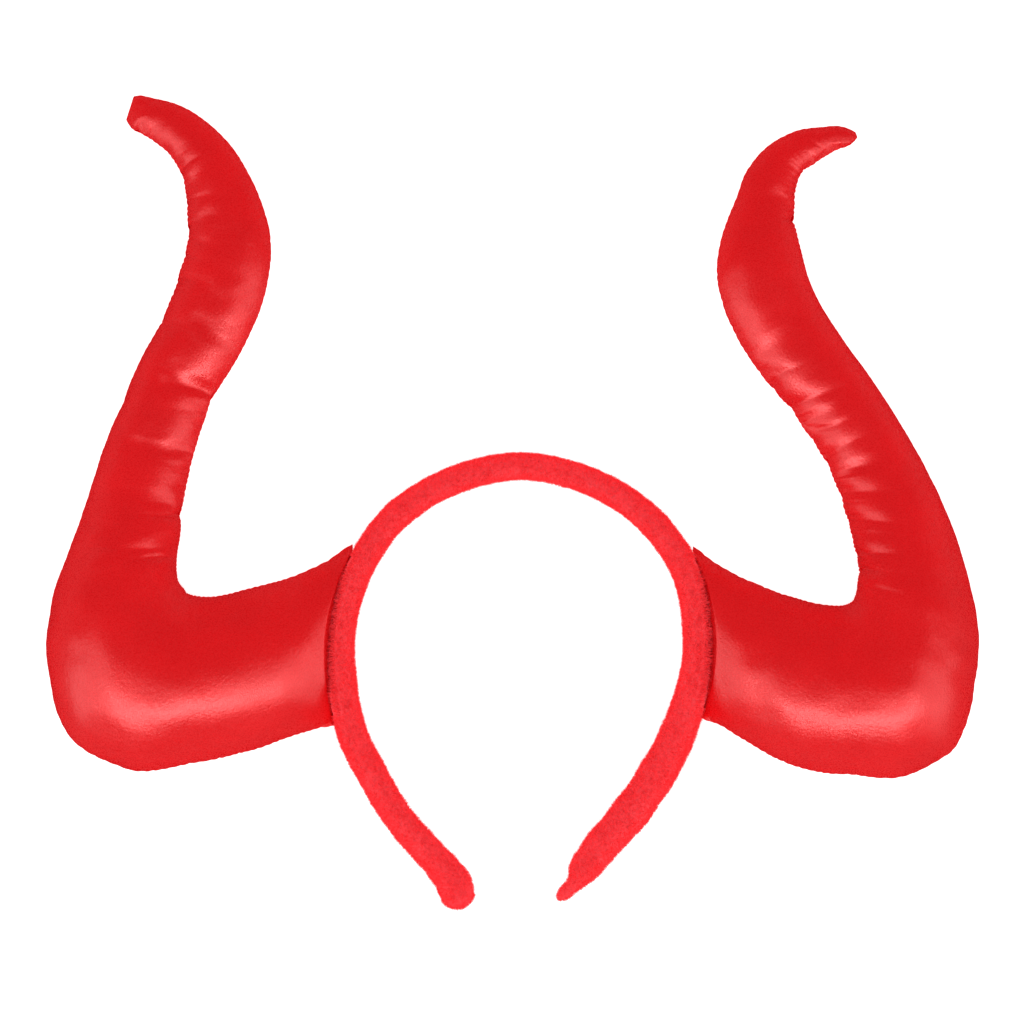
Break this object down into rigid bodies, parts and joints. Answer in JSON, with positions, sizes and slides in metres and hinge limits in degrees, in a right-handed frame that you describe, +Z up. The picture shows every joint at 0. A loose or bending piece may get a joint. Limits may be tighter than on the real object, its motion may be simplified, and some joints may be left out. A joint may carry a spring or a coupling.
{
  "type": "devil horns headband",
  "caption": "Padded plush hoop for the head with a long stuffed satin devil horn sewn to each side, curving out, up and back in.",
  "frame": {"origin": "on the surface that the headband lies on, below the middle of its overall box", "axes": "+X across the head, from the left horn to the right horn as the picture shows them; +Y from the hoop's open ends to its crown and on to the horn tips; +Z up, out of the front of the headband as it lies on its back"},
  "size_m": [0.3362, 0.2926, 0.0438],
  "materials": {
    "red_plush": "short-pile red plush over thin padding",
    "red_satin": "bright red satin, softly shiny, sewn from two panels and stuffed"
  },
  "bodies": {
    "root": {"headband": "red_plush", "horn_left": "red_satin", "horn_right": "red_satin"}
  },
  "joints": []
}
